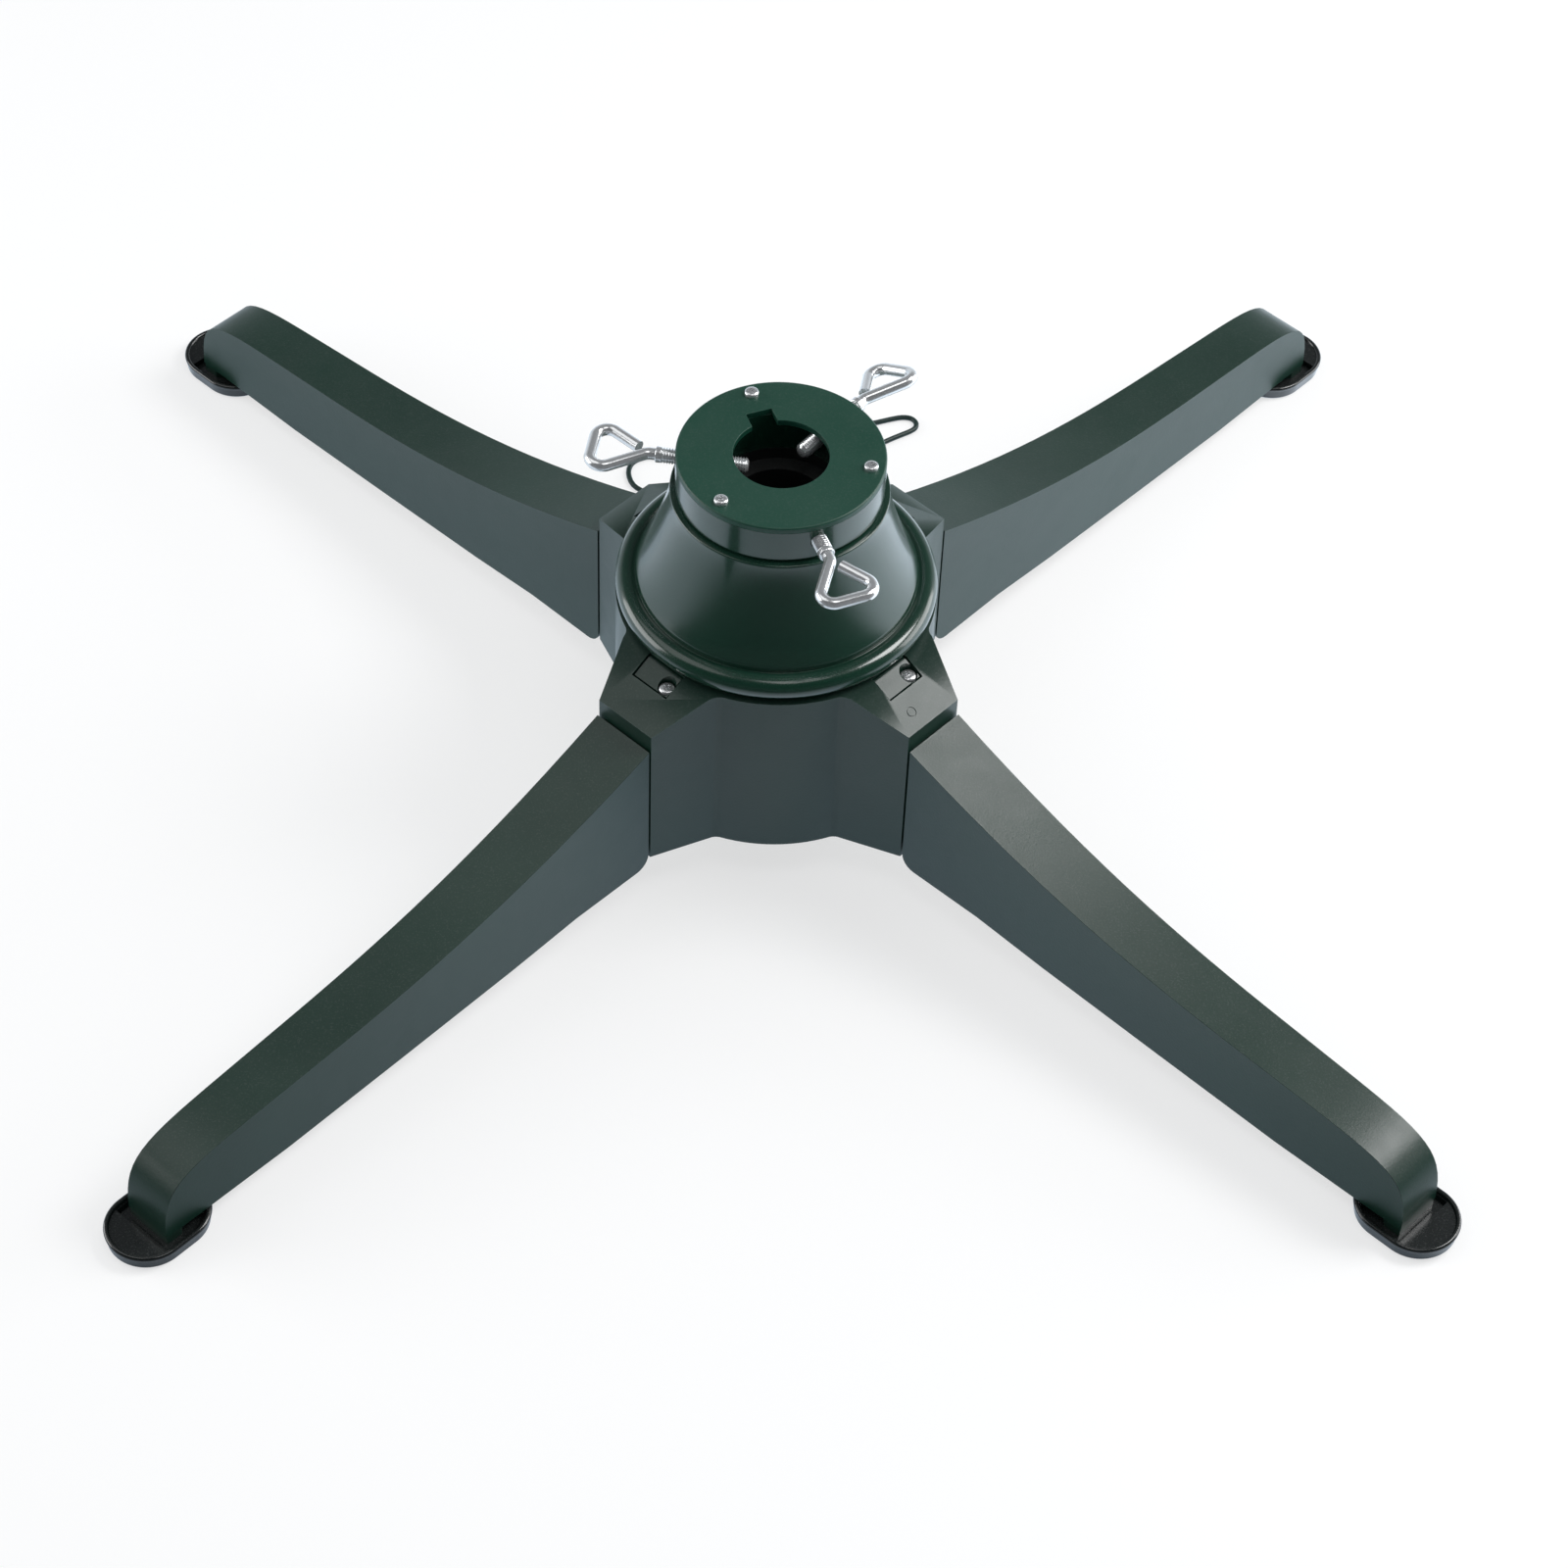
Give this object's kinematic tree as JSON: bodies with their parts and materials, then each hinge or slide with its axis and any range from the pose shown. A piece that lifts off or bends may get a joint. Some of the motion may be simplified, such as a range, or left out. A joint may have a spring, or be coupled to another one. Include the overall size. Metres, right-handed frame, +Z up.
{
  "type": "rotating christmas tree stand",
  "caption": "Low four-legged stand for an artificial tree, whose flared head turns on a motor-driven ball bearing and grips the pole with eye bolts.",
  "frame": {"origin": "on the floor, on the axis that the head turns about", "axes": "+Z up; -Y towards the viewer of the picture; the legs point half way between X and Y"},
  "size_m": [0.4794, 0.4794, 0.1659],
  "materials": {
    "moulded_green": "satin moulded dark green",
    "glossy_green": "deep green, glossy",
    "plate_green": "deep green enamel, satin",
    "foot_black": "glossy near-black",
    "black_plastic": "plain moulded black",
    "bright_zinc": "bright zinc plate",
    "screw_zinc": "zinc plate",
    "bearing_steel": "ground steel",
    "motor_steel": "zinc-plated sheet",
    "nylon": "natural nylon",
    "lead_green": "soft vinyl, dark green"
  },
  "bodies": {
    "stand": {"hub_shell": "moulded_green", "bottom_cover": "moulded_green", "cover_screws": "screw_zinc", "leg_rear_right": "moulded_green", "leg_rear_left": "moulded_green", "leg_front_left": "moulded_green", "leg_front_right": "moulded_green", "leg_screws": "screw_zinc", "cup_rear_right": "foot_black", "cup_rear_left": "foot_black", "cup_front_left": "foot_black", "cup_front_right": "foot_black", "cup_screws": "screw_zinc", "gear_motor": "motor_steel", "motor_screws": "screw_zinc", "motor_lead": "lead_green", "lower_race": "bearing_steel", "strain_relief": "black_plastic", "power_cord": "lead_green", "cord_coil": "lead_green", "cord_tail": "lead_green", "cord_tie": "black_plastic", "dc_plug": "black_plastic", "dc_plug_barrel": "bright_zinc"},
    "turntable": {"pole_tube": "black_plastic", "drive_gear": "nylon", "gear_screws": "screw_zinc", "upper_race": "bearing_steel", "bell_cover": "glossy_green", "head_collar": "glossy_green", "collar_screws": "screw_zinc", "top_plate": "plate_green", "plate_screws": "screw_zinc", "clamp_nuts": "screw_zinc"},
    "ball_ring": {"ball_cage": "nylon", "bearing_balls": "bearing_steel"},
    "pinion": {"drive_pinion": "nylon", "motor_shaft": "bearing_steel"},
    "front_bolt": {"clamp_bolt_front": "bright_zinc"},
    "rear_right_bolt": {"clamp_bolt_rear_right": "bright_zinc"},
    "left_bolt": {"clamp_bolt_left": "bright_zinc"}
  },
  "joints": [
    {"name": "turntable_spin", "type": "hinge", "parent": "stand", "child": "turntable", "pos_m": [0, 0, 0.1], "axis": [0, 0, 1], "continuous": true},
    {"name": "pinion_spin", "type": "hinge", "parent": "stand", "child": "pinion", "pos_m": [0, -0.036, 0.052], "axis": [0, 0, 1], "continuous": true},
    {"name": "ball_ring_spin", "type": "hinge", "parent": "stand", "child": "ball_ring", "pos_m": [0, 0, 0.0999], "axis": [0, 0, 1], "continuous": true},
    {"name": "front_bolt_slide", "type": "slide", "parent": "turntable", "child": "front_bolt", "axis": [0.3355, -0.9421, 0], "range_m": [-0.007, 0.011]},
    {"name": "rear_right_bolt_slide", "type": "slide", "parent": "turntable", "child": "rear_right_bolt", "axis": [0.6481, 0.7615, 0], "range_m": [-0.007, 0.011]},
    {"name": "left_bolt_slide", "type": "slide", "parent": "turntable", "child": "left_bolt", "axis": [-0.9836, 0.1805, 0], "range_m": [-0.007, 0.011]}
  ],
  "couplings": [
    {"joint": "pinion_spin", "follows": "turntable_spin", "ratio": -3},
    {"joint": "ball_ring_spin", "follows": "turntable_spin", "ratio": 0.5}
  ]
}
